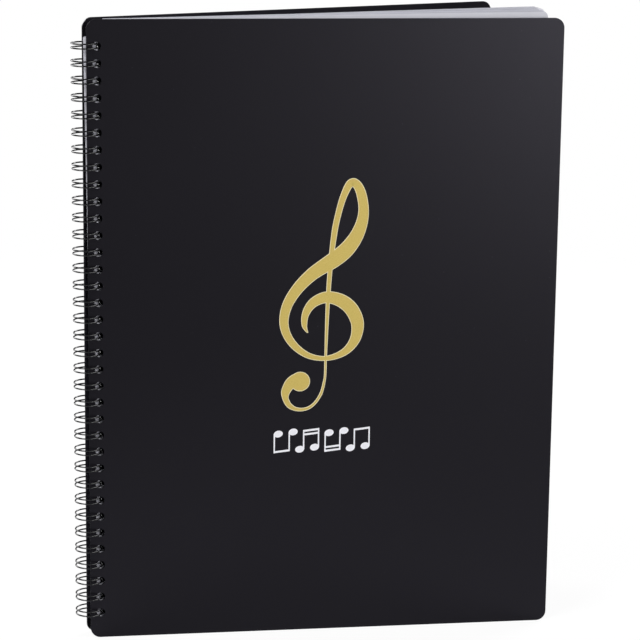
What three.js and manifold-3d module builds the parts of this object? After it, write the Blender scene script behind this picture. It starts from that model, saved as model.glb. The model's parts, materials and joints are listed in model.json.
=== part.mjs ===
// A music folder: two punched plastic covers and a fan of pocket leaves on a twin-loop wire.
// It stands on its bottom edges, opened to a narrow V. Millimetres, +Z up, front cover facing -Y,
// spine towards -X. Everything is laid out from the ring axis, the upright line through the middle
// of the wire loops, and the whole is then moved so that the origin is the middle of its footprint.
import * as THREE from 'three';
import { mergeVertices } from 'three/addons/utils/BufferGeometryUtils.js';
import Module from 'manifold-3d';

const wasm = await Module();
wasm.setup();

// Covers
const COVER_HEIGHT = 314;
const COVER_WIDTH = 237;
const COVER_THICKNESS = 0.8;
const COVER_CORNER = 5;
const BACK_COVER_ANGLE = 21;

// Punching
const LOOP_PITCH = 25.4 / 3;
const HOLE_DIAMETER = 4.2;
const EDGE_TO_HOLE = 5.2;
const END_MARGIN = 12;

// Binding wire
const WIRE_DIAMETER = 0.9;
const LOOP_RADIUS = 6.8;
const STRAND_SPACING = 2.2;
const SEAM_ANGLE = 37.3;
const TIP_SETBACK = 1.5;
const LINK_CORNER = 0.8;
const COVER_OFFSET = 4.1;

// Pocket leaves
const COVER_OVERHANG = 0.6;
const LEAF_WIDTH = 234;
const LEAF_THICKNESS = 0.6;
const LEAF_CORNER = 2.5;
const LEAF_BEND = 24;
const FRONT_BUNCH = { count: 5, from: 1.2, to: 7.0 };
const REAR_BUNCH = { count: 3, from: 8.2, to: 9.8 };
const MARGIN_FRONT_GAP = 0.35;
const MARGIN_THICKNESS = 6;
const MARGIN_WIDTH = 9;
const MARGIN_SHORTFALL = 8.5;

// Print on the front cover
const PRINT_THICKNESS = 0.1;
const NOTE_HEAD = { length: 4.7, height: 3.5, tilt: 12 };
const NOTE_STEM = 0.7;
const NOTE_STEM_INDENT = 2;
const NOTE_SPAN = 7.6;
const NOTE_RISE = 0.9;
const NOTE_HEIGHT = 10;
const NOTE_BEAM = 1.0;
const NOTE_BEAM_GAP = 1.9;
const NOTE_PAIR_PITCH = 13.0;
const NOTE_ROW_LEFT = 93.2;
const NOTE_ROW_BOTTOM = 94.4;

// Facets
const WIRE_SIDES = 5;
const STRAND_STEPS = 9;
const HAIRPIN_STEPS = 3;
const HOLE_SIDES = 8;
const CORNER_STEPS = 5;
const BEND_STEPS = 4;
const SPINE_STEPS = 6;
const STEPS_PER_STATION = 2;
const HEAD_STEPS = 8;

// What is cut off the fore-edge of a leaf blank, and how near two points are to be one.
const TRIM = 1;
const WELD = 1e-5;

const radians = (degrees) => degrees * Math.PI / 180;
const loopCount = Math.floor((COVER_HEIGHT - 2 * END_MARGIN) / LOOP_PITCH) + 1;
const firstLoop = (COVER_HEIGHT - (loopCount - 1) * LOOP_PITCH) / 2;
const loopHeights = Array.from({ length: loopCount }, (_, index) => firstLoop + index * LOOP_PITCH);

// Where the ring crosses a sheet that stands off its axis, and where that sheet's spine edge is then.
const holeReach = (offset) => Math.sqrt(LOOP_RADIUS ** 2 - offset ** 2);
const edgeReach = (offset) => holeReach(offset) - EDGE_TO_HOLE;

const finish = (color, roughness, metalness = 0) => new THREE.MeshStandardMaterial({ color, roughness, metalness });
const blackPlastic = finish(0x242328, 0.5);
const blackEnamel = finish(0x0c0c0e, 0.3, 0.4);
const frostedFilm = finish(0xd2d2d8, 0.45);
const goldFoil = finish(0xd2bc64, 0.4, 0.3);
const whiteInk = finish(0xebebf0, 0.6);

// Solids: joining and cutting closed meshes.
function toSolid(geometry) {
  const bare = geometry.clone();
  bare.deleteAttribute('normal');
  bare.deleteAttribute('uv');
  const merged = mergeVertices(bare, WELD);
  const mesh = new wasm.Mesh({
    numProp: 3,
    vertProperties: new Float32Array(merged.attributes.position.array),
    triVerts: new Uint32Array(merged.index.array),
  });
  return new wasm.Manifold(mesh);
}

function toGeometry(solid) {
  const mesh = solid.getMesh();
  const geometry = new THREE.BufferGeometry();
  geometry.setAttribute('position', new THREE.BufferAttribute(new Float32Array(mesh.vertProperties), 3));
  geometry.setIndex(new THREE.BufferAttribute(new Uint32Array(mesh.triVerts), 1));
  geometry.computeVertexNormals();
  return geometry;
}

const joined = (geometries) => geometries.map(toSolid).reduce((whole, next) => whole.add(next));

// An outline drawn in width and height becomes a sheet that stands upright, from y = front to back.
function uprightSheet(shape, front, thickness, curveSegments = CORNER_STEPS) {
  const geometry = new THREE.ExtrudeGeometry(shape, { depth: thickness, bevelEnabled: false, curveSegments });
  geometry.rotateX(Math.PI / 2);
  geometry.translate(0, front + thickness, 0);
  return geometry;
}

function roundedRectangle(left, bottom, width, height, radius) {
  const right = left + width;
  const top = bottom + height;
  const shape = new THREE.Shape();
  shape.moveTo(left + radius, bottom);
  shape.lineTo(right - radius, bottom);
  shape.absarc(right - radius, bottom + radius, radius, -Math.PI / 2, 0);
  shape.lineTo(right, top - radius);
  shape.absarc(right - radius, top - radius, radius, 0, Math.PI / 2);
  shape.lineTo(left + radius, top);
  shape.absarc(left + radius, top - radius, radius, Math.PI / 2, Math.PI);
  shape.lineTo(left, bottom + radius);
  shape.absarc(left + radius, bottom + radius, radius, Math.PI, 1.5 * Math.PI);
  return shape;
}

// Covers: a rounded rectangle punched once for each loop.
function coverGeometry(offset) {
  const middle = Math.abs(offset);
  const shape = roundedRectangle(edgeReach(middle), 0, COVER_WIDTH, COVER_HEIGHT, COVER_CORNER);
  for (const height of loopHeights) {
    const hole = new THREE.Path();
    hole.absarc(holeReach(middle), height, HOLE_DIAMETER / 2, 0, 2 * Math.PI);
    shape.holes.push(hole);
  }
  return uprightSheet(shape, offset - COVER_THICKNESS / 2, COVER_THICKNESS, HOLE_SIDES / 2);
}

// Binding wire. On the cylinder of the loops, `along` is the distance round it and `height` goes up it.
// Each loop leaves the seam, goes round, turns in a hairpin and comes back, and a link goes up to the next.
const onLoop = (along, height) => new THREE.Vector3(
  LOOP_RADIUS * Math.cos(along / LOOP_RADIUS),
  LOOP_RADIUS * Math.sin(along / LOOP_RADIUS),
  height,
);
const seam = radians(SEAM_ANGLE) * LOOP_RADIUS;
const hairpin = seam + 2 * Math.PI * LOOP_RADIUS - TIP_SETBACK;
const strandStart = seam + LINK_CORNER;

// The stretches of one loop: how many steps each has, and its course as a function of a share from 0 to 1.
const loopStretches = [
  {
    steps: STRAND_STEPS,
    course: (share, middle) => onLoop(THREE.MathUtils.lerp(strandStart, hairpin, share), middle - STRAND_SPACING / 2),
  },
  {
    steps: HAIRPIN_STEPS,
    course: (share, middle) => {
      const turn = Math.PI * (share - 0.5);
      const radius = STRAND_SPACING / 2;
      return onLoop(hairpin + radius * Math.cos(turn), middle + radius * Math.sin(turn));
    },
  },
  {
    steps: STRAND_STEPS,
    course: (share, middle) => onLoop(THREE.MathUtils.lerp(hairpin, strandStart, share), middle + STRAND_SPACING / 2),
  },
  {
    steps: 1,
    course: (share, middle) => linkCorner(share, middle + STRAND_SPACING / 2 + LINK_CORNER, -1),
  },
  {
    steps: 1,
    course: (share, middle) => {
      const low = middle + STRAND_SPACING / 2 + LINK_CORNER;
      return onLoop(seam, THREE.MathUtils.lerp(low, low + LOOP_PITCH - STRAND_SPACING - 2 * LINK_CORNER, share));
    },
  },
  {
    steps: 1,
    course: (share, middle) => linkCorner(1 - share, middle + LOOP_PITCH - STRAND_SPACING / 2 - LINK_CORNER, 1),
  },
];

// A quarter turn between a strand and a link, `side` being the way from the link to its strand.
function linkCorner(share, height, side) {
  const turn = share * Math.PI / 2;
  return onLoop(strandStart - LINK_CORNER * Math.sin(turn), height + side * LINK_CORNER * Math.cos(turn));
}

class TwinLoopCourse extends THREE.Curve {
  constructor() {
    super();
    this.stretches = loopHeights.flatMap((middle) => loopStretches.map((stretch) => ({ ...stretch, middle })));
    this.stretches.splice(-3);
    this.steps = this.stretches.reduce((sum, stretch) => sum + stretch.steps, 0);
  }

  getPoint(t) {
    let step = Math.min(Math.max(t, 0), 1) * this.steps;
    for (const stretch of this.stretches) {
      if (step <= stretch.steps) {
        return stretch.course(step / stretch.steps, stretch.middle);
      }
      step -= stretch.steps;
    }
    const last = this.stretches[this.stretches.length - 1];
    return last.course(1, last.middle);
  }

  // Steps are even along the list of stretches, not along the length of the wire.
  getUtoTmapping(u) {
    return u;
  }
}

function wireGeometry() {
  const course = new TwinLoopCourse();
  const section = new THREE.Shape();
  for (let side = 0; side < WIRE_SIDES; side += 1) {
    const angle = 2 * Math.PI * side / WIRE_SIDES;
    const point = [WIRE_DIAMETER / 2 * Math.cos(angle), WIRE_DIAMETER / 2 * Math.sin(angle)];
    if (side === 0) section.moveTo(...point);
    else section.lineTo(...point);
  }
  return new THREE.ExtrudeGeometry(section, { steps: course.steps, extrudePath: course });
}

// Pocket leaves. In the margin they lie flat on each other, and past it each bends away to its own angle.
const marginFront = -COVER_OFFSET + COVER_THICKNESS / 2 + MARGIN_FRONT_GAP;
const marginBack = marginFront + MARGIN_THICKNESS;
const marginEnd = edgeReach(0) + MARGIN_WIDTH;
const leafHeight = COVER_HEIGHT - 2 * COVER_OVERHANG;

function leafAngles() {
  return [FRONT_BUNCH, REAR_BUNCH].flatMap(({ count, from, to }) => (
    Array.from({ length: count }, (_, index) => THREE.MathUtils.lerp(from, to, index / (count - 1)))
  ));
}

// The middle line of a leaf seen from above, as points with the direction of the leaf there.
function leafLine(depth, angle, reach) {
  const turn = radians(angle);
  const bendRadius = LEAF_BEND / turn;
  const line = [{ x: marginEnd - LEAF_THICKNESS, y: depth, heading: 0 }];
  for (let step = 0; step <= BEND_STEPS; step += 1) {
    const heading = turn * step / BEND_STEPS;
    line.push({
      x: marginEnd + bendRadius * Math.sin(heading),
      y: depth + bendRadius * (1 - Math.cos(heading)),
      heading,
    });
  }
  const last = line[line.length - 1];
  line.push({ x: last.x + reach * Math.cos(turn), y: last.y + reach * Math.sin(turn), heading: turn });
  return line;
}

function leafSolid(depth, angle) {
  const straight = LEAF_WIDTH - MARGIN_WIDTH - LEAF_BEND;
  const line = leafLine(depth, angle, straight + TRIM);
  const side = (way) => line.map(({ x, y, heading }) => new THREE.Vector2(
    x - way * LEAF_THICKNESS / 2 * Math.sin(heading),
    y + way * LEAF_THICKNESS / 2 * Math.cos(heading),
  ));
  const plan = new THREE.Shape([...side(-1), ...side(1).reverse()]);
  const blank = new THREE.ExtrudeGeometry(plan, { depth: COVER_HEIGHT, bevelEnabled: false });
  const foreEdge = leafLine(depth, angle, straight).pop().x;
  const outline = roundedRectangle(0, COVER_OVERHANG, foreEdge, leafHeight, LEAF_CORNER);
  const window = uprightSheet(outline, -COVER_WIDTH, 2 * COVER_WIDTH, 2);
  return toSolid(blank).intersect(toSolid(window));
}

// The punched margin, whose spine edge follows the ring because each leaf's holes hang on it.
function marginSolid() {
  const plan = [new THREE.Vector2(marginEnd, marginBack), new THREE.Vector2(marginEnd, marginFront)];
  for (let step = 0; step <= SPINE_STEPS; step += 1) {
    const depth = THREE.MathUtils.lerp(marginFront, marginBack, step / SPINE_STEPS);
    plan.splice(2 + step, 0, new THREE.Vector2(edgeReach(depth), depth));
  }
  const shape = new THREE.Shape(plan.reverse());
  const height = leafHeight - 2 * MARGIN_SHORTFALL;
  const geometry = new THREE.ExtrudeGeometry(shape, { depth: height, bevelEnabled: false });
  geometry.translate(0, 0, COVER_OVERHANG + MARGIN_SHORTFALL);
  return toSolid(geometry);
}

function leavesGeometry() {
  const angles = leafAngles();
  const spread = MARGIN_THICKNESS - LEAF_THICKNESS;
  let leaves = marginSolid();
  angles.forEach((angle, index) => {
    const depth = marginFront + LEAF_THICKNESS / 2 + spread * index / (angles.length - 1);
    leaves = leaves.add(leafSolid(depth, angle));
  });
  const holes = loopHeights.map((height) => {
    const radius = HOLE_DIAMETER / 2;
    const channel = new THREE.CylinderGeometry(radius, radius, 4 * COVER_OFFSET, HOLE_SIDES);
    channel.translate((holeReach(0) + holeReach(marginFront)) / 2, 0, height);
    return channel;
  });
  for (const hole of holes) leaves = leaves.subtract(toSolid(hole));
  return toGeometry(leaves);
}

// Print. A stroke is a list of [across, up, width] stations in millimetres on the cover.
const CLEF_BOWL = [
  [109.8, 156.6, 0.6], [108.1, 160.4, 2.7], [108.6, 166.2, 3.7], [111.8, 171.4, 4.8], [117.1, 174.3, 5.7],
  [122.4, 174.3, 6.3], [128.2, 171.8, 6.9], [132.6, 167.2, 7.0], [135.1, 160.6, 6.5], [134.1, 153.2, 5.4],
  [130.0, 147.4, 4.1], [124.1, 144.2, 3.1], [117.3, 143.2, 2.5], [109.7, 145.1, 3.1], [103.1, 150.1, 3.8],
  [98.9, 156.6, 4.3], [97.7, 163.6, 4.7], [99.6, 171.6, 5.3], [104.6, 179.5, 5.9], [111.0, 186.0, 6.6],
  [116.7, 190.0, 7.3], [122.4, 193.6, 8.1], [128.7, 198.6, 8.0], [133.5, 205.0, 7.1], [136.4, 212.0, 6.0],
  [137.3, 219.0, 5.2], [136.2, 226.0, 5.1], [134.2, 230.4, 4.7], [131.6, 232.2, 4.2],
];
const CLEF_STEM = [
  [132.6, 232.2, 3.8], [129.0, 229.8, 3.8], [126.1, 224.3, 3.5], [123.9, 216.7, 3.2], [122.5, 208.0, 3.1],
  [121.2, 194.0, 2.9], [120.2, 180.0, 2.7], [119.5, 162.0, 2.1], [119.1, 145.0, 1.4], [118.9, 134.5, 1.3],
  [117.9, 127.4, 1.5], [115.7, 121.8, 1.7], [112.0, 118.0, 1.9], [107.6, 116.7, 2.3], [103.0, 118.1, 3.2],
  [99.8, 121.6, 4.1], [98.9, 126.0, 4.6], [100.6, 130.4, 4.4],
];
const CLEF_BALL = [106.2, 131.8, 10.5];

function strokeShape(stations) {
  const line = new THREE.CatmullRomCurve3(stations.map(([across, up, width]) => new THREE.Vector3(across, up, width)));
  const samples = STEPS_PER_STATION * (stations.length - 1);
  const left = [];
  const right = [];
  for (let sample = 0; sample <= samples; sample += 1) {
    const t = sample / samples;
    const { x, y, z: width } = line.getPoint(t);
    const direction = line.getTangent(t).setZ(0).normalize();
    left.push(new THREE.Vector2(x - direction.y * width / 2, y + direction.x * width / 2));
    right.push(new THREE.Vector2(x + direction.y * width / 2, y - direction.x * width / 2));
  }
  return new THREE.Shape([...left, ...right.reverse()]);
}

function discShape([across, up, width]) {
  return new THREE.Shape().absarc(across, up, width / 2, 0, 2 * Math.PI);
}

function ellipseShape({ across, up, length, height, tilt }) {
  return new THREE.Shape().absellipse(across, up, length / 2, height / 2, 0, 2 * Math.PI, false, radians(tilt));
}

const printFront = -COVER_OFFSET - COVER_THICKNESS / 2 - PRINT_THICKNESS;
const printed = (shapes) => toGeometry(joined(shapes.map((shape) => uprightSheet(shape, printFront, PRINT_THICKNESS, HEAD_STEPS))));

function clefGeometry() {
  return printed([strokeShape(CLEF_BOWL), strokeShape(CLEF_STEM), discShape(CLEF_BALL)]);
}

// A slanted bar whose ends are upright: a beam, or with no slant a stem.
function barShape(left, bottom, length, rise, height) {
  return new THREE.Shape([
    new THREE.Vector2(left, bottom),
    new THREE.Vector2(left + length, bottom + rise),
    new THREE.Vector2(left + length, bottom + rise + height),
    new THREE.Vector2(left, bottom + height),
  ]);
}

// Two notes joined by beams. Heads sit below right-hand stems, or above left-hand ones when `hanging`.
function notePairGeometry(index, { beams, hanging }) {
  const left = NOTE_ROW_LEFT + NOTE_PAIR_PITCH * index;
  const headSide = hanging ? 1 : -1;
  const stemLeft = left + (hanging ? 0 : NOTE_STEM_INDENT);
  const shapes = [];
  for (const note of [0, 1]) {
    const lift = NOTE_RISE * note;
    const stemAt = stemLeft + NOTE_SPAN * note;
    const headCentre = stemAt + NOTE_STEM / 2 + headSide * (NOTE_HEAD.length - NOTE_STEM) / 2;
    const headUp = hanging ? NOTE_HEIGHT : NOTE_HEAD.height / 2;
    const low = hanging ? 0 : NOTE_HEAD.height / 2;
    const stemHeight = hanging ? NOTE_HEIGHT : NOTE_HEIGHT + NOTE_HEAD.height / 2 - low;
    shapes.push(barShape(stemAt, NOTE_ROW_BOTTOM + lift + low, NOTE_STEM, 0, stemHeight));
    shapes.push(ellipseShape({ ...NOTE_HEAD, across: headCentre, up: NOTE_ROW_BOTTOM + lift + headUp }));
  }
  for (let beam = 0; beam < beams; beam += 1) {
    const first = hanging ? 0 : NOTE_HEIGHT + NOTE_HEAD.height / 2 - NOTE_BEAM;
    const up = NOTE_ROW_BOTTOM + first + (hanging ? 1 : -1) * NOTE_BEAM_GAP * beam;
    shapes.push(barShape(stemLeft, up, NOTE_SPAN + NOTE_STEM, NOTE_RISE, NOTE_BEAM));
  }
  return printed(shapes);
}

const NOTE_PAIRS = [
  { beams: 1, hanging: true },
  { beams: 2, hanging: false },
  { beams: 2, hanging: true },
  { beams: 1, hanging: false },
];

function piece(name, geometry, material) {
  const mesh = new THREE.Mesh(geometry, material);
  mesh.name = name;
  return mesh;
}

const frontCover = new THREE.Group();
frontCover.add(piece('front_cover', coverGeometry(-COVER_OFFSET), blackPlastic));
frontCover.add(piece('clef_print', clefGeometry(), goldFoil));
NOTE_PAIRS.forEach((pair, index) => {
  frontCover.add(piece(`note_pair_${index + 1}_print`, notePairGeometry(index, pair), whiteInk));
});

const backCover = new THREE.Group();
backCover.add(piece('back_cover', coverGeometry(COVER_OFFSET), blackPlastic));
backCover.rotation.z = radians(BACK_COVER_ANGLE);

const folder = new THREE.Group();
folder.add(frontCover, backCover);
folder.add(piece('pocket_leaves', leavesGeometry(), frostedFilm));
folder.add(piece('binding_wire', wireGeometry(), blackEnamel));

// The origin is the middle of the footprint.
folder.updateMatrixWorld(true);
const footprint = new THREE.Box3().setFromObject(folder, true).getCenter(new THREE.Vector3());
folder.position.set(-footprint.x, -footprint.y, 0);

export default folder;
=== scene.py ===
# %% [markdown]
# A music folder, dressed for its picture.
# The solid model of the folder is loaded first and never moved. Every piece below is made in the same
# place and at the same size, so a cover drawn here is exactly where the solid cover is. Lengths are
# written in millimetres, as a maker would, and turned to metres once, when a piece is put in place.

# %% Load the folder and keep its box
import json
import math
import random

import bmesh
import bpy
from mathutils import Matrix, Vector


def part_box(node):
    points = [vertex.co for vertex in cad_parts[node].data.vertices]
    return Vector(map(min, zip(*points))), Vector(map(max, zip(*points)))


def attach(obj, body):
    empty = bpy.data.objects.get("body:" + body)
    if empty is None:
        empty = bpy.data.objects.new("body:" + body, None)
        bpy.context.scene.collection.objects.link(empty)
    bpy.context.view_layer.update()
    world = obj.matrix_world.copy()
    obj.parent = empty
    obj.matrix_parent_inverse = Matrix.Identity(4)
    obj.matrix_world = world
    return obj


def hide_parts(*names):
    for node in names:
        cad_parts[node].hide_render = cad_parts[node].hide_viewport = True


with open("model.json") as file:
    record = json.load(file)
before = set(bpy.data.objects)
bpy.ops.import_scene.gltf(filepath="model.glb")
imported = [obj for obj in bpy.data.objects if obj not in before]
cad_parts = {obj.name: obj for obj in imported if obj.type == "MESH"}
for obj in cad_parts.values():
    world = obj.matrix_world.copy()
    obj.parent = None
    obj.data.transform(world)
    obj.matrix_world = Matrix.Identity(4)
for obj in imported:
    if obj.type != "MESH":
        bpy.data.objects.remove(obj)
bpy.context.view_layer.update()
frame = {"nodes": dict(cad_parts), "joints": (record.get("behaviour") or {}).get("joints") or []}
MM = 0.001

# %% [markdown]
# The camera comes from the corners of the front cover in the photograph: a long lens, a little to the
# spine's side and above, looking slightly down. Its place is measured from the cover's lower left
# corner, so it follows the folder if the solid model is ever laid out anew.

# %% Camera
CAMERA_FROM_CORNER = Vector((-68.19, -1209.13, 431.96)) * MM
CAMERA_AZIMUTH, CAMERA_ELEVATION, CAMERA_ROLL = -8.66, 12.40, 0.69
CAMERA_LENS, CAMERA_SENSOR = 140.33, 36.0

cover_low, cover_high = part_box("front_cover")


def camera_axes(azimuth, elevation, roll):
    """The camera's right, up and backward directions, for angles in degrees."""
    turn, lift, roll = (math.radians(angle) for angle in (azimuth, elevation, roll))
    back = Vector((math.sin(turn) * math.cos(lift), -math.cos(turn) * math.cos(lift), math.sin(lift)))
    right = Vector((0, 0, 1)).cross(back).normalized()
    up = back.cross(right)
    rolled_right = right * math.cos(roll) + up * math.sin(roll)
    rolled_up = up * math.cos(roll) - right * math.sin(roll)
    return rolled_right, rolled_up, back


camera_data = bpy.data.cameras.new("camera")
camera_data.lens, camera_data.sensor_width = CAMERA_LENS, CAMERA_SENSOR
camera_data.clip_start, camera_data.clip_end = 0.05, 50
camera = bpy.data.objects.new("camera", camera_data)
bpy.context.scene.collection.objects.link(camera)
axes = Matrix(camera_axes(CAMERA_AZIMUTH, CAMERA_ELEVATION, CAMERA_ROLL)).transposed().to_4x4()
camera.matrix_world = Matrix.Translation(Vector(cover_low) + CAMERA_FROM_CORNER) @ axes
bpy.context.scene.camera = camera
bpy.context.scene.view_settings.view_transform = "Standard"
print("camera at", [round(v, 3) for v in camera.matrix_world.translation])

# %% [markdown]
# Colours are written as they look on a screen and turned into the linear values that a shader wants by
# one function. A second small function adds a shader node with its inputs and settings, which keeps
# each material below down to a few readable lines.

# %% Colour and node helpers
def colour(code):
    """A hex colour as it looks on a screen, as linear red, green, blue and alpha."""
    parts = [int(code[i : i + 2], 16) / 255 for i in (1, 3, 5)]
    return tuple(p / 12.92 if p <= 0.04045 else ((p + 0.055) / 1.055) ** 2.4 for p in parts) + (1.0,)


def add(tree, kind, inputs, **settings):
    """A node of that kind. Inputs are values or other nodes' sockets, and settings its own options."""
    node = tree.nodes.new("ShaderNode" + kind)
    for key, value in settings.items():
        setattr(node, key, value)
    for key, value in inputs.items():
        if isinstance(value, bpy.types.NodeSocket):
            tree.links.new(value, node.inputs[key])
        else:
            node.inputs[key].default_value = value
    return node


def new_material(name):
    """A material with its tree, its Principled shader and the object coordinates."""
    material = bpy.data.materials.new(name)
    material.use_nodes = True
    tree = material.node_tree
    shader = next(node for node in tree.nodes if node.type == "BSDF_PRINCIPLED")
    return material, tree, shader, add(tree, "TexCoord", {}).outputs["Object"]


def mottled(tree, shader, place, size, dark, light, detail=3.0):
    """A base colour that wanders between two close tones over patches of that size in millimetres."""
    noise = add(tree, "TexNoise", {"Vector": place, "Scale": 1 / (size * MM), "Detail": detail})
    tone = add(tree, "Mix", {0: noise.outputs["Fac"], 6: colour(dark), 7: colour(light)}, data_type="RGBA")
    tree.links.new(tone.outputs[2], shader.inputs["Base Color"])
    return noise, tone


def rippled(tree, shader, height, strength, depth):
    """A bump from a pattern's height, its depth in millimetres."""
    bump = add(tree, "Bump", {"Height": height, "Strength": strength, "Distance": depth * MM})
    tree.links.new(bump.outputs[0], shader.inputs["Normal"])


# %% [markdown]
# The covers are polypropylene sheet, calendered between rollers that leave a fine, even grain. The
# plastic is black all through, and what the eye sees is mostly the satin gloss that the grain breaks
# up. The real grain is finer than a pixel of the picture, so it is drawn at about 0.6 mm. A few
# pale specks are the dust that always clings to this plastic.

# %% Cover plastic
def satin_polypropylene():
    material, tree, shader, place = new_material("satin_polypropylene")
    _, tone = mottled(tree, shader, place, 60, "#060507", "#09080B", detail=2.0)
    dust = add(tree, "TexVoronoi", {"Vector": place, "Scale": 1 / (9 * MM)})
    speck = add(tree, "Math", {0: dust.outputs["Distance"], 1: 0.03}, operation="LESS_THAN")
    clean_or_dust = {0: speck.outputs[0], 6: tone.outputs[2], 7: colour("#2E2D32")}
    dusted = add(tree, "Mix", clean_or_dust, data_type="RGBA")
    tree.links.new(dusted.outputs[2], shader.inputs["Base Color"])
    grain = add(tree, "TexNoise", {"Vector": place, "Scale": 1 / (0.6 * MM), "Detail": 3.0})
    rough = add(tree, "MapRange", {"Value": grain.outputs["Fac"], "To Min": 0.28, "To Max": 0.38})
    tree.links.new(rough.outputs[0], shader.inputs["Roughness"])
    rippled(tree, shader, grain.outputs["Fac"], 0.25, 0.08)
    shader.inputs["Specular IOR Level"].default_value = 0.35
    shader.inputs["Specular Tint"].default_value = (0.88, 0.85, 1.0, 1.0)
    return material


# %% [markdown]
# The pockets are soft film, frosted so that sheet music slides in and does not glare. Many layers lie
# behind each other, so the film looks a pale grey white rather than clear. A slight cloudiness and a
# gentle gloss keep it from looking like paper, and each leaf carries its own tone as an attribute, so
# that the stack shows the fine lines of its edges. The same attribute carries painted light: the first
# leaf of each bunch is painted bright as a highlight, and the last one is painted dark as shade.

# %% Pocket film
def frosted_film():
    material, tree, shader, place = new_material("frosted_film")
    tall = add(tree, "Mapping", {"Vector": place, "Scale": (1.0, 1.0, 0.12)})
    cloud, tone = mottled(tree, shader, tall.outputs[0], 18, "#A2A2AC", "#D4D4DC")
    # The leaf tone attribute is partly random tone and partly painted light: a painted highlight on the
    # first leaf of each bunch, painted shade on the last.
    sheet = add(tree, "Attribute", {}, attribute_name="sheet_tone_and_painted_light")
    cloud_or_sheet = {0: 0.7, 2: cloud.outputs["Fac"], 3: sheet.outputs["Fac"]}
    share = add(tree, "Mix", cloud_or_sheet, data_type="FLOAT")
    tree.links.new(share.outputs[0], tone.inputs[0])
    ripple = add(tree, "TexNoise", {"Vector": place, "Scale": 1 / (4 * MM), "Detail": 2.0})
    rippled(tree, shader, ripple.outputs["Fac"], 0.15, 0.2)
    shader.inputs["Roughness"].default_value = 0.35
    shader.inputs["IOR"].default_value = 1.49
    return material


# %% [markdown]
# The binding is spring steel wire dipped in black nylon. The coat is smooth and glossy, and on a wire
# this thin it shows as sharp white lines on black. Small waves in the coat keep the lines alive.

# %% Coated wire
def nylon_coated_wire():
    material, tree, shader, place = new_material("nylon_coated_wire")
    wave, _ = mottled(tree, shader, place, 1.5, "#08080A", "#121214", detail=2.0)
    rippled(tree, shader, wave.outputs["Fac"], 0.1, 0.05)
    shader.inputs["Roughness"].default_value = 0.13
    shader.inputs["IOR"].default_value = 1.53
    shader.inputs["Specular IOR Level"].default_value = 0.7
    return material


# %% [markdown]
# The clef and the notes are screen printed. Gold ink carries fine metal flakes, which give it a soft
# sheen and a speckle instead of a mirror. Under it lies a slightly wider coat of pale primer, and its
# rim shows round the gold as a thin cream line. The notes are plain white ink.

# %% Printing inks
def gold_ink():
    material, tree, shader, place = new_material("gold_ink")
    flakes, _ = mottled(tree, shader, place, 0.5, "#C0A64A", "#DAC470", detail=4.0)
    rippled(tree, shader, flakes.outputs["Fac"], 0.2, 0.05)
    shader.inputs["Metallic"].default_value = 0.15
    shader.inputs["Roughness"].default_value = 0.45
    return material


def plain_ink(name, dark, light):
    material, tree, shader, place = new_material(name)
    mottled(tree, shader, place, 0.8, dark, light)
    shader.inputs["Roughness"].default_value = 0.5
    return material


plastic = satin_polypropylene()
film = frosted_film()
coat = nylon_coated_wire()
gold = gold_ink()
primer = plain_ink("cream_primer", "#E6DBB4", "#F2EACB")
white_ink = plain_ink("white_ink", "#E8E8EE", "#F6F6FA")
print("materials:", [material.name for material in (plastic, film, coat, gold, primer, white_ink)])

# %% [markdown]
# All pieces are drawn round the ring axis, the upright line through the middle of the wire loops, which
# is also where both covers turn. One function puts a finished mesh in place: it turns it about that
# axis, scales it to metres and moves it to where the axis stands in the solid model.

# %% Ring axis and putting a piece in place
AXIS = Vector((*frame["joints"][0]["pos_m"][:2], 0.0))
COVER_WIDTH = (cover_high[0] - cover_low[0]) / MM
COVER_HEIGHT = (cover_high[2] - cover_low[2]) / MM
COVER_THICKNESS = (cover_high[1] - cover_low[1]) / MM
COVER_OFFSET = (AXIS.y - (cover_low[1] + cover_high[1]) / 2) / MM
SPINE_EDGE = (cover_low[0] - AXIS.x) / MM
BACK_ANGLE = 21.0


def put(name, bm, material, body, replaced=(), angle=0.0):
    """Turns a drawing in millimetres into a piece that stands in the folder and rides on its body."""
    turn = Matrix.Rotation(math.radians(angle), 4, "Z")
    bm.transform(Matrix.Translation(AXIS) @ turn @ Matrix.Scale(MM, 4))
    mesh = bpy.data.meshes.new(name)
    bm.to_mesh(mesh)
    bm.free()
    mesh.materials.append(material)
    piece = bpy.data.objects.new(name, mesh)
    bpy.context.scene.collection.objects.link(piece)
    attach(piece, body)
    if replaced:
        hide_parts(*replaced)
    print(name, "has", len(mesh.polygons), "faces")


def only(kind, parts):
    """The vertices, edges or faces among what an operator gave back."""
    return [part for part in parts if isinstance(part, kind)]


print("covers", round(COVER_WIDTH, 1), "by", round(COVER_HEIGHT, 1), "mm, edge", round(SPINE_EDGE, 3))

# %% [markdown]
# The wire is one length bent into double loops. Each loop goes out round the ring, turns in a hairpin
# and comes back beside itself, and a short link leads up to the next one. It could be a curve with a
# round bevel, but spinning a ring of vertices about each bend's own centre gives true arcs, just as the
# bending machine does.

# %% Binding wire
LOOP_COUNT = 35
LOOP_PITCH = 25.4 / 3
FIRST_LOOP = (COVER_HEIGHT - (LOOP_COUNT - 1) * LOOP_PITCH) / 2
LOOP_RADIUS = 6.8
WIRE_RADIUS = 0.38
STRAND_SPACING = 2.2
LINK_CORNER = 0.8
SEAM_ANGLE = math.radians(37.3)
TIP_SETBACK = 1.5
WIRE_SIDES = 10
RING_STEPS, HAIRPIN_STEPS, LINK_STEPS = 40, 10, 5
MERGE_DISTANCE = 0.01
UP = Vector((0, 0, 1))
loop_heights = [FIRST_LOOP + index * LOOP_PITCH for index in range(LOOP_COUNT)]


def ring_point(angle, height):
    """A point on the cylinder of the loops."""
    return Vector((LOOP_RADIUS * math.cos(angle), LOOP_RADIUS * math.sin(angle), height))


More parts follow.
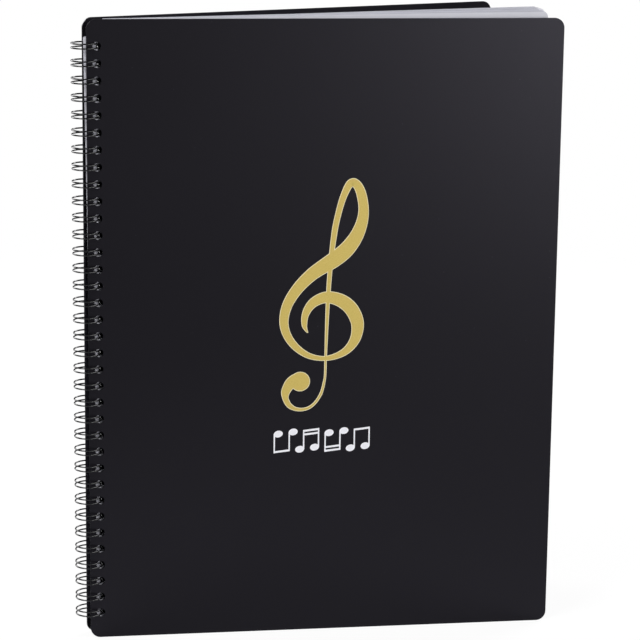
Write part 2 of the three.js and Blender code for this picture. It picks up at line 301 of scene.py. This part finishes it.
def sweep(bm, end, centre, axis, angle, steps):
    """Bends the open end of the wire about an axis and gives back the new end."""
    swept = bmesh.ops.spin(bm, geom=end, cent=centre, axis=axis, angle=angle, steps=steps)["geom_last"]
    return only((bmesh.types.BMVert, bmesh.types.BMEdge), swept)


def draw_on(bm, end, length):
    """Draws the open end of the wire straight up."""
    grown = bmesh.ops.extrude_edge_only(bm, edges=only(bmesh.types.BMEdge, end))["geom"]
    bmesh.ops.translate(bm, vec=UP * length, verts=only(bmesh.types.BMVert, grown))
    return only((bmesh.types.BMVert, bmesh.types.BMEdge), grown)


START = SEAM_ANGLE + LINK_CORNER / LOOP_RADIUS
TIP = SEAM_ANGLE + 2 * math.pi - TIP_SETBACK / LOOP_RADIUS
HALF_GAP = STRAND_SPACING / 2


def wire_end(bm, height):
    """A ring of vertices round the wire where a strand meets the seam."""
    place = Matrix.Translation(ring_point(START, height)) @ Matrix.Rotation(START, 4, "Z")
    place = place @ Matrix.Rotation(math.pi / 2, 4, "X")
    verts = bmesh.ops.create_circle(bm, radius=WIRE_RADIUS, segments=WIRE_SIDES, matrix=place)["verts"]
    return verts + list({edge for vert in verts for edge in vert.link_edges})


def one_loop():
    """A strand out, a hairpin and a strand back, round height 0."""
    bm = bmesh.new()
    end = wire_end(bm, -HALF_GAP)
    end = sweep(bm, end, (0, 0, 0), UP, TIP - START, RING_STEPS)
    end = sweep(bm, end, ring_point(TIP, 0), ring_point(TIP, 0).normalized(), math.pi, HAIRPIN_STEPS)
    sweep(bm, end, (0, 0, 0), UP, START - TIP, RING_STEPS)
    return bm


def one_link():
    """The short rise from a loop at height 0 to the next one."""
    bm = bmesh.new()
    outward = ring_point(START, 0).normalized()
    end = wire_end(bm, HALF_GAP)
    end = sweep(bm, end, ring_point(START, HALF_GAP + LINK_CORNER), outward, -math.pi / 2, LINK_STEPS)
    end = draw_on(bm, end, LOOP_PITCH - STRAND_SPACING - 2 * LINK_CORNER)
    upper_bend = ring_point(START, LOOP_PITCH - HALF_GAP - LINK_CORNER)
    sweep(bm, end, upper_bend, outward, -math.pi / 2, LINK_STEPS)
    return bm


def add_copies(whole, bm, heights):
    """Adds a copy of a small drawing to the whole at each height."""
    part = bpy.data.meshes.new("part")
    bm.to_mesh(part)
    bm.free()
    for height in heights:
        before = len(whole.verts)
        whole.from_mesh(part)
        whole.verts.ensure_lookup_table()
        bmesh.ops.translate(whole, vec=UP * height, verts=whole.verts[before:])
    bpy.data.meshes.remove(part)


def wire_loops():
    """The whole binding wire as one closed tube, its loops and links merged where they meet."""
    bm = bmesh.new()
    add_copies(bm, one_loop(), loop_heights)
    add_copies(bm, one_link(), loop_heights[:-1])
    bmesh.ops.remove_doubles(bm, verts=bm.verts[:], dist=MERGE_DISTANCE)
    bmesh.ops.holes_fill(bm, edges=bm.edges[:], sides=WIRE_SIDES)
    bmesh.ops.recalc_face_normals(bm, faces=bm.faces[:])
    for face in bm.faces:
        face.smooth = len(face.verts) == 4
    return bm


put("wire_loops", wire_loops(), coat, "binding", ["binding_wire"])

# %% [markdown]
# A cover is one flat sheet, cut with round corners and punched. It starts as a single face whose four
# corner vertices are bevelled into arcs. The hole circles are added, the area between them and the
# outline is filled, and the fill is pushed out to the sheet's thickness. The knife rounds the cut
# edges over a little, and that narrow bevel is what catches the light along the rim.

# %% Drawing a punched sheet
COVER_CORNER = 5.0
HOLE_RADIUS = 2.15
EDGE_TO_HOLE = 5.2


def blank_sheet(bm, left, bottom, width, height):
    """One rectangular face in the drawing plane."""
    middle = Matrix.Translation((left + width / 2, bottom + height / 2, 0))
    half = Matrix.Diagonal((width / 2, height / 2, 1, 1))
    return bmesh.ops.create_grid(bm, x_segments=1, y_segments=1, size=1, matrix=middle @ half)["verts"]


def round_corners(bm, corners, radius, segments):
    """Turns corner vertices into arcs."""
    bmesh.ops.bevel(
        bm, geom=corners, offset=radius, offset_type="OFFSET", affect="VERTICES",
        segments=segments, profile=0.5, material=-1,
    )


def punch(bm, across, bottom, sides, slant=0.0):
    """Opens the sheet's outline and fills it again round a column of holes, upright or slanting."""
    inner = [edge for edge in bm.edges if len(edge.link_faces) == 2]
    bmesh.ops.delete(bm, geom=bm.faces[:], context="FACES_ONLY")
    bmesh.ops.delete(bm, geom=inner, context="EDGES")
    for height in loop_heights:
        place = Matrix.Translation((across + slant * (height - COVER_HEIGHT / 2), height - bottom, 0))
        bmesh.ops.create_circle(bm, radius=HOLE_RADIUS, segments=sides, matrix=place)
    bmesh.ops.triangle_fill(bm, use_beauty=True, edges=bm.edges[:])


def thicken(bm, thickness):
    """Gives a flat drawing its thickness, half to each side."""
    grown = bmesh.ops.extrude_face_region(bm, geom=bm.faces[:])["geom"]
    bmesh.ops.translate(bm, vec=(0, 0, thickness), verts=only(bmesh.types.BMVert, grown))
    bmesh.ops.translate(bm, vec=(0, 0, -thickness / 2), verts=bm.verts[:])
    bmesh.ops.recalc_face_normals(bm, faces=bm.faces[:])


def stand_up(bm, offset):
    """Stands a drawing up in the folder, that far behind the ring axis."""
    bm.transform(Matrix.Translation((0, offset, 0)) @ Matrix.Rotation(math.pi / 2, 4, "X"))


# %% [markdown]
# Both covers are the same sheet. The front one stands before the ring axis. The back one stands as far
# behind it and is then turned open about the axis, by the angle at which the folder stands.

# %% Covers
CUT_ROUNDING = 0.14
CUT_ROUNDING_STEPS = 2
COVER_CORNER_STEPS = 14
COVER_HOLE_SIDES = 28
RIM_ANGLE = math.radians(60)


def cover_sheet(offset):
    """One cover, its middle that far behind the ring axis."""
    bm = bmesh.new()
    blank = blank_sheet(bm, SPINE_EDGE, 0, COVER_WIDTH, COVER_HEIGHT)
    round_corners(bm, blank, COVER_CORNER, COVER_CORNER_STEPS)
    punch(bm, SPINE_EDGE + EDGE_TO_HOLE, 0, COVER_HOLE_SIDES)
    thicken(bm, COVER_THICKNESS)
    rims = [edge for edge in bm.edges if edge.calc_face_angle(0) > RIM_ANGLE]
    bmesh.ops.bevel(
        bm, geom=rims, offset=CUT_ROUNDING, offset_type="OFFSET", affect="EDGES",
        segments=CUT_ROUNDING_STEPS, profile=0.5, material=-1, clamp_overlap=True,
    )
    stand_up(bm, offset)
    return bm


put("front_sheet", cover_sheet(-COVER_OFFSET), plastic, "front", ["front_cover"])
put("back_sheet", cover_sheet(COVER_OFFSET), plastic, "back", ["back_cover"], BACK_ANGLE)

# %% [markdown]
# The leaves hang on the wire by a punched margin that is shorter than the pocket, and past it each one
# bends away on its own. A flat leaf is drawn with its holes, cut across where it has to bend, and
# then a copy of it is bent to each angle. The stack is loose, so the leaves lean a little in their own
# plane, up at the fore edge, and their hole column leans the other way, to stand upright on the wire.
# The rear bunch stands out a little further than the front one and hangs 0.9 mm lower. The holes of
# both are punched for the front bunch's height, so in the rear bunch the wire cuts their rims by up to
# 0.3 mm. The first and the last leaf, which an open cover shows, have their welds.

# %% One flat leaf
LEAF_WIDTH, LEAF_HEIGHT, LEAF_CORNER = 234.0, 312.8, 2.5
FRONT_REACH, REAR_REACH = -3.0, 2.5
FILM_THICKNESS = 0.14
MARGIN_WIDTH = 9.0
MARGIN_SHORTFALL = 8.5
LEAF_BEND = 24.0
LEAF_BOTTOM = (COVER_HEIGHT - LEAF_HEIGHT) / 2
LEAF_TILT = math.radians(0.75)
LEAF_HOLE_SHIFT = 0.5
ARC_CUTS = 6
BEND_CUTS = [MARGIN_WIDTH + LEAF_BEND * step / ARC_CUTS for step in range(ARC_CUTS + 1)]
BEND_CUTS += [60, 90, 120, 150, 180, 210]
LEAF_CORNER_STEPS = 5
LEAF_HOLE_SIDES = 14
WELD_WIDTH, WELD_RISE, WELD_INSET = 1.2, 0.05, 3.0
FRONT_LIFT, REAR_LIFT = 0.4, -0.5


def cut_across(bm, point, normal):
    """Cuts a drawing along a line, without parting it."""
    everything = bm.verts[:] + bm.edges[:] + bm.faces[:]
    bmesh.ops.bisect_plane(bm, geom=everything, plane_co=point, plane_no=normal)


def cut_for_bending(bm, thickness):
    """Cuts a flat drawing across where it has to bend, thickens it and keeps it as a mesh."""
    for across in BEND_CUTS:
        cut_across(bm, (across, 0, 0), (1, 0, 0))
    thicken(bm, thickness)
    mesh = bpy.data.meshes.new("flat_drawing")
    bm.to_mesh(mesh)
    bm.free()
    return mesh


def flat_leaf(width):
    """A leaf lying flat, its spine edge at no width, with its punched margin."""
    bm = bmesh.new()
    pocket = blank_sheet(bm, MARGIN_WIDTH, 0, width - MARGIN_WIDTH, LEAF_HEIGHT)
    fore_corners = [vert for vert in pocket if vert.co.x > width / 2]
    round_corners(bm, fore_corners, LEAF_CORNER, LEAF_CORNER_STEPS)
    for height in (MARGIN_SHORTFALL, LEAF_HEIGHT - MARGIN_SHORTFALL):
        cut_across(bm, (0, height, 0), (0, 1, 0))
    spine_side = [edge for edge in bm.edges if max(vert.co.x for vert in edge.verts) < width / 2]
    longest = max(spine_side, key=lambda edge: edge.calc_length())
    margin = bmesh.ops.extrude_edge_only(bm, edges=[longest])["geom"]
    bmesh.ops.translate(bm, vec=(-MARGIN_WIDTH, 0, 0), verts=only(bmesh.types.BMVert, margin))
    across = EDGE_TO_HOLE + LEAF_HOLE_SHIFT
    punch(bm, across, LEAF_BOTTOM + FRONT_LIFT, LEAF_HOLE_SIDES, math.tan(LEAF_TILT))
    return cut_for_bending(bm, FILM_THICKNESS)


def weld_lines(width):
    """The three welds that close a pocket: at the margin, along the foot and up the fore edge."""
    bm = bmesh.new()
    start, end = MARGIN_WIDTH + WELD_INSET, width - WELD_INSET
    blank_sheet(bm, start, WELD_INSET, WELD_WIDTH, LEAF_HEIGHT - 2 * WELD_INSET)
    blank_sheet(bm, end - WELD_WIDTH, WELD_INSET, WELD_WIDTH, LEAF_HEIGHT - 2 * WELD_INSET)
    blank_sheet(bm, start + WELD_WIDTH, WELD_INSET, end - start - 2 * WELD_WIDTH, WELD_WIDTH)
    return cut_for_bending(bm, FILM_THICKNESS + 2 * WELD_RISE)


front_width, rear_width = LEAF_WIDTH + FRONT_REACH, LEAF_WIDTH + REAR_REACH
front_leaf, rear_leaf = flat_leaf(front_width), flat_leaf(rear_width)
front_welds, rear_welds = weld_lines(front_width), weld_lines(rear_width)
print("flat leaves have", len(front_leaf.polygons), "and", len(rear_leaf.polygons), "faces")

# %% [markdown]
# Each leaf leaves the margin in an arc that ends a little past its own angle, and then curls slowly back
# to as much short of it, the way film does. The angles run evenly through each bunch with a little chance
# added, and the lean has a little chance too. So has each leaf's tone, but for the outer leaves of a
# bunch, whose tones are set as painted light: the first leaf of each bunch is painted bright as a
# highlight, and the last one is painted dark as shade.

# %% The fan of leaves
MARGIN_FRONT, MARGIN_THICKNESS = -3.35, 6.0
MARGIN_END = LOOP_RADIUS - EDGE_TO_HOLE + MARGIN_WIDTH
LEAF_EASE = math.radians(2.0)
FRONT_COUNT, REAR_COUNT = 15, 9
ANGLE_SPREAD = 0.06
TILT_SPREAD = math.radians(0.05)
FAN_SEED = 7
WELD_TONE = 0.5
LEAF_TONES = (0.3, 1.0)
FRONT_ANGLES, REAR_ANGLES = (0.8, 4.2), (7.0, 9.0)
LEAF_COUNT = FRONT_COUNT + REAR_COUNT
# Painted light: the first leaf of each bunch gets a bright painted highlight, the last one dark painted
# shade.
OUTER_LEAF_HIGHLIGHT_AND_SHADE = {0: 1.0, FRONT_COUNT - 1: 0.0, FRONT_COUNT: 1.0, LEAF_COUNT - 1: 0.1}


def bend_leaf(verts, depth, angle):
    """Bends a flat leaf away past the margin: an arc to a little over the angle, then slowly back."""
    spine = math.sqrt(LOOP_RADIUS**2 - depth**2) - EDGE_TO_HOLE
    top = angle + LEAF_EASE
    arc_radius = LEAF_BEND / top
    reach = LEAF_WIDTH - MARGIN_WIDTH - LEAF_BEND
    for vert in verts:
        along, height, layer = vert.co
        past = spine + along - MARGIN_END
        heading, x, y = 0.0, spine + along, 0.0
        if past > LEAF_BEND:
            far = past - LEAF_BEND
            heading = top - 2 * LEAF_EASE * far / reach
            mean = (top + heading) / 2
            x = MARGIN_END + arc_radius * math.sin(top) + far * math.cos(mean)
            y = arc_radius * (1 - math.cos(top)) + far * math.sin(mean)
        elif past > 0:
            heading = past / arc_radius
            x = MARGIN_END + arc_radius * math.sin(heading)
            y = arc_radius * (1 - math.cos(heading))
        across = Vector((-math.sin(heading), math.cos(heading), 0)) * layer
        vert.co = Vector((x, depth + y, LEAF_BOTTOM + height)) + across


def leaf_fan():
    """All the leaves, in two bunches with a gap between."""
    chance = random.Random(FAN_SEED)
    bm = bmesh.new()
    tone_and_light_layer = bm.verts.layers.float.new("sheet_tone_and_painted_light")
    for index in range(LEAF_COUNT):
        in_front = index < FRONT_COUNT
        low, high = FRONT_ANGLES if in_front else REAR_ANGLES
        share = index / (FRONT_COUNT - 1) if in_front else (index - FRONT_COUNT) / (REAR_COUNT - 1)
        angle = low + (high - low) * share + chance.uniform(-ANGLE_SPREAD, ANGLE_SPREAD)
        further_back = (MARGIN_THICKNESS - FILM_THICKNESS) * index / (LEAF_COUNT - 1)
        depth = MARGIN_FRONT + FILM_THICKNESS / 2 + further_back
        tilt = LEAF_TILT + chance.uniform(-TILT_SPREAD, TILT_SPREAD)
        lift = FRONT_LIFT if in_front else REAR_LIFT
        tilted = Matrix.Translation((LOOP_RADIUS, 0, COVER_HEIGHT / 2 + lift))
        tilted = tilted @ Matrix.Rotation(-tilt, 4, "Y")
        tilted = tilted @ Matrix.Translation((-LOOP_RADIUS, 0, -COVER_HEIGHT / 2))
        leaf = bmesh.new()
        leaf.from_mesh(front_leaf if in_front else rear_leaf)
        sheet_size = len(leaf.verts)
        if index in (0, LEAF_COUNT - 1):
            leaf.from_mesh(front_welds if in_front else rear_welds)
        bend_leaf(leaf.verts, depth, math.radians(angle))
        leaf.transform(tilted)
        before = len(bm.verts)
        add_copies(bm, leaf, [0])
        tone = chance.uniform(*LEAF_TONES)
        # Outer leaves take their painted highlight or painted shade, the others a random tone.
        for vert in bm.verts[before:]:
            vert[tone_and_light_layer] = OUTER_LEAF_HIGHLIGHT_AND_SHADE.get(index, tone)
        for vert in bm.verts[before + sheet_size :]:
            vert[tone_and_light_layer] = WELD_TONE
    bmesh.ops.recalc_face_normals(bm, faces=bm.faces[:])
    return bm


put("leaf_fan", leaf_fan(), film, "binding", ["pocket_leaves"])
for drawing in (front_leaf, rear_leaf, front_welds, rear_welds):
    bpy.data.meshes.remove(drawing)

# %% [markdown]
# The clef is two brush strokes and a ball: the bowl with its spiral, and the stem with its hook. Each
# stroke is a row of stations, across, up and how wide the stroke is there. An edge as long as the
# stroke is wide is extruded from place to place along a smooth curve through them, like a broad pen.
# The cream primer has the full width, and the gold on it is the same strokes, a hair narrower.

# %% Clef strokes
CLEF_BOWL = [
    (109.8, 156.6, 0.6), (108.1, 160.4, 2.7), (108.6, 166.2, 3.7), (111.8, 171.4, 4.8), (117.1, 174.3, 5.7),
    (122.4, 174.3, 6.3), (128.2, 171.8, 6.9), (132.6, 167.2, 7.0), (135.1, 160.6, 6.5), (134.1, 153.2, 5.4),
    (130.0, 147.4, 4.1), (124.1, 144.2, 3.1), (117.3, 143.2, 2.5), (109.7, 145.1, 3.1), (103.1, 150.1, 3.8),
    (98.9, 156.6, 4.3), (97.7, 163.6, 4.7), (99.6, 171.6, 5.3), (104.6, 179.5, 5.9), (111.0, 186.0, 6.6),
    (116.7, 190.0, 7.3), (122.4, 193.6, 8.1), (128.7, 198.6, 8.0), (133.5, 205.0, 7.1), (136.4, 212.0, 6.0),
    (137.3, 219.0, 5.2), (136.2, 226.2, 5.0), (134.3, 230.8, 4.6), (131.9, 232.8, 4.2), (129.7, 231.4, 3.9),
]
CLEF_STEM = [
    (133.6, 231.9, 4.1), (131.9, 232.8, 4.2), (129.7, 231.4, 3.9), (126.8, 225.0, 3.4), (124.5, 216.7, 3.1),
    (122.8, 208.0, 3.0), (121.2, 194.0, 2.5), (120.2, 180.0, 2.3), (119.5, 162.0, 1.8), (119.1, 145.0, 1.3),
    (118.9, 134.4, 1.2), (118.2, 129.8, 1.4), (117.2, 125.7, 1.5), (115.5, 122.4, 1.5), (113.7, 120.0, 1.5),
    (111.2, 118.0, 1.6), (108.8, 117.1, 1.7), (106.4, 116.9, 1.8), (103.7, 117.4, 2.1), (101.5, 118.6, 2.6),
    (99.9, 120.4, 2.9), (98.8, 123.2, 3.3), (98.8, 126.0, 4.5), (99.9, 128.6, 5.2), (101.3, 130.5, 6.0),
    (103.1, 131.8, 6.6), (104.8, 132.3, 7.4),
]
CLEF_BALL = (106.2, 131.5, 10.1)
PRINT_THICKNESS = 0.1
PRIMER_RIM = 0.3
THINNEST_HALF = 0.05
STROKE_PARTS = 6
BALL_SIDES = 48
LAYER_DROP = 0.08


def smooth_line(stations, parts):
    """Points on a curve that passes through the stations and heads at each along its neighbours."""
    points = [Vector(station) for station in (stations[0], *stations, stations[-1])]
    line = []
    for before, start, end, after in zip(points, points[1:], points[2:], points[3:]):
        square = 2 * before - 5 * start + 4 * end - after
        cube = 3 * start - before - 3 * end + after
        for share in (part / parts for part in range(parts)):
            bend = square * share**2 + cube * share**3
            line.append((2 * start + (end - before) * share + bend) / 2)
    return line + [points[-1]]


def pen_stroke(bm, stations, wider):
    """A flat stroke of changing width, drawn by extruding one edge along the line."""
    line = smooth_line(stations, STROKE_PARTS)
    edge, nib = None, None
    for before, here, after in zip(line[:1] + line, line, line[1:] + line[-1:]):
        heading = (after - before).to_2d().normalized()
        side = Vector((-heading.y, heading.x)) * max(here.z / 2 + wider, THINNEST_HALF)
        ends = [(here.to_2d() + side).to_3d(), (here.to_2d() - side).to_3d()]
        if edge is None:
            edge = bm.edges.new([bm.verts.new(end) for end in ends])
        else:
            grown = bmesh.ops.extrude_edge_only(bm, edges=[edge])["geom"]
            for vert in only(bmesh.types.BMVert, grown):
                nearer_first = (vert.co - nib[0]).length < (vert.co - nib[1]).length
                vert.co = ends[0] if nearer_first else ends[1]
            ribs = only(bmesh.types.BMEdge, grown)
            edge = next(rib for rib in ribs if all(vert in grown for vert in rib.verts))
        nib = ends


def clef(thickness, wider):
    """The clef as three flat shapes, each a little lower than the last so that none of them flicker."""
    whole = bmesh.new()
    for order, stations in enumerate((CLEF_BOWL, CLEF_STEM, CLEF_BALL)):
        bm = bmesh.new()
        if stations is CLEF_BALL:
            across, up, width = stations
            place = Matrix.Translation((across, up, 0))
            radius = width / 2 + wider
            bmesh.ops.create_circle(bm, cap_ends=True, radius=radius, segments=BALL_SIDES, matrix=place)
        else:
            pen_stroke(bm, stations, wider)
        height = thickness * (1 - LAYER_DROP * order)
        grown = bmesh.ops.extrude_face_region(bm, geom=bm.faces[:])["geom"]
        bmesh.ops.translate(bm, vec=(0, 0, height), verts=only(bmesh.types.BMVert, grown))
        bmesh.ops.recalc_face_normals(bm, faces=bm.faces[:])
        add_copies(whole, bm, [0])
    bmesh.ops.translate(whole, vec=(SPINE_EDGE, 0, 0), verts=whole.verts[:])
    stand_up(whole, -COVER_OFFSET - COVER_THICKNESS / 2)
    return whole


put("clef_gold", clef(PRINT_THICKNESS, -PRIMER_RIM), gold, "front", ["clef_print"])
put("clef_primer", clef(PRINT_THICKNESS / 2, 0.0), primer, "front")

# %% [markdown]
# The note pairs keep their solid shapes, because a flat print of straight bars and ovals needs nothing
# more. They only get their ink.

# %% Note pairs
for name in frame["nodes"]:
    if name.startswith("note_pair"):
        note = bpy.data.objects[name]
        note.data.materials.clear()
        note.data.materials.append(white_ink)
        print(name, "inked")

# %% [markdown]
# The folder stands on a plain white sheet in a studio. To the camera the sheet glows white from 1 m out,
# so that its edge is lost. Within 0.3 m of the middle a tenth of what is seen is plain paper, which
# takes the shadow. Black plastic mirrors what lies before it, so to every ray but the camera's the paper
# is dark in a ring 0.8 m out and pale nearer and further, and that makes the cover darkest half way up.
# The world is white to the camera and only faint as a light.

# %% Floor and world
FLOOR_SIZE = 12.0
DARK_BAND, BAND_FADE = 0.8, 0.9
SHADOW_REACH, GLOW_IN_SHADOW = 0.3, 0.9
WORLD_LIGHT = 0.12


def studio_floor():
    """The sheet of paper under the folder, as a stage and not a piece."""
    bm = bmesh.new()
    bmesh.ops.create_grid(bm, x_segments=1, y_segments=1, size=FLOOR_SIZE / 2)
    mesh = bpy.data.meshes.new("studio_floor")
    bm.to_mesh(mesh)
    bm.free()
    floor = bpy.data.objects.new("studio_floor", mesh)
    bpy.context.scene.collection.objects.link(floor)
    material, tree, shader, place = new_material("studio_paper")
    ray = add(tree, "LightPath", {})
    away = add(tree, "VectorMath", {0: place}, operation="LENGTH").outputs["Value"]
    aside = add(tree, "Math", {0: away, 1: DARK_BAND}, operation="SUBTRACT").outputs[0]
    aside = add(tree, "Math", {0: aside}, operation="ABSOLUTE").outputs[0]
    pale = add(tree, "MapRange", {"Value": aside, "From Max": BAND_FADE}).outputs[0]
    dark_or_pale = {0: pale, 6: colour("#58585A"), 7: colour("#CCCCD0")}
    mirrored = add(tree, "Mix", dark_or_pale, data_type="RGBA").outputs[2]
    to_camera = ray.outputs["Is Camera Ray"]
    paper = add(tree, "Mix", {0: to_camera, 6: mirrored, 7: colour("#F2F2F2")}, data_type="RGBA")
    tree.links.new(paper.outputs[2], shader.inputs["Base Color"])
    shader.inputs["Roughness"].default_value = 1.0
    shader.inputs["Specular IOR Level"].default_value = 0.0
    glow = add(tree, "Emission", {"Color": (1, 1, 1, 1), "Strength": 1.0})
    outwards = {"Value": away, "From Min": SHADOW_REACH, "To Min": GLOW_IN_SHADOW}
    white = add(tree, "MapRange", outwards).outputs[0]
    share = add(tree, "Math", {0: to_camera, 1: white}, operation="MULTIPLY")
    mix = add(tree, "MixShader", {0: share.outputs[0], 1: shader.outputs[0], 2: glow.outputs[0]})
    output = next(node for node in tree.nodes if node.type == "OUTPUT_MATERIAL")
    tree.links.new(mix.outputs[0], output.inputs["Surface"])
    mesh.materials.append(material)


def studio_world():
    """White to the camera, and a faint even light to everything else."""
    world = bpy.data.worlds.new("studio_world")
    bpy.context.scene.world = world
    world.use_nodes = True
    tree = world.node_tree
    surround = next(node for node in tree.nodes if node.type == "BACKGROUND")
    surround.inputs["Color"].default_value = (1, 1, 1, 1)
    ray = add(tree, "LightPath", {})
    to_camera = ray.outputs["Is Camera Ray"]
    strength = add(tree, "MapRange", {"Value": to_camera, "To Min": WORLD_LIGHT, "To Max": 1.0})
    tree.links.new(strength.outputs[0], surround.inputs["Strength"])


studio_floor()
studio_world()

# %% [markdown]
# Five soft lamps, weak enough that a colour comes out about as it is written. A small low one in front,
# towards the fore edge, draws the gloss on the plastic and the wire. Two higher ones, at the spine's side
# and at the fore edge's, light the cover and the print. Two behind light the folder's back.

# %% Lamps
def soft_lamp(name, place, target, size, power):
    """A square soft lamp at a place in metres, turned towards its target."""
    data = bpy.data.lights.new(name, "AREA")
    data.energy, data.size = power, size
    lamp = bpy.data.objects.new(name, data)
    bpy.context.scene.collection.objects.link(lamp)
    lamp.location = Vector(place)
    lamp.rotation_euler = (Vector(place) - Vector(target)).to_track_quat("Z", "Y").to_euler()
    print(name, "at", place)


MIDDLE = (0, 0, COVER_HEIGHT * MM / 2)
soft_lamp("gloss_lamp", (0.85, -1.8, 0.38), MIDDLE, 0.6, 8.2)
soft_lamp("left_lamp", (-1.26, -1.05, 1.30), MIDDLE, 0.9, 31.0)
soft_lamp("right_lamp", (1.28, -0.6, 1.57), MIDDLE, 0.9, 16.5)
soft_lamp("rear_left_lamp", (-1.1, 1.3, 1.0), MIDDLE, 0.9, 24.0)
soft_lamp("rear_right_lamp", (1.4, 1.1, 1.2), MIDDLE, 0.9, 28.0)
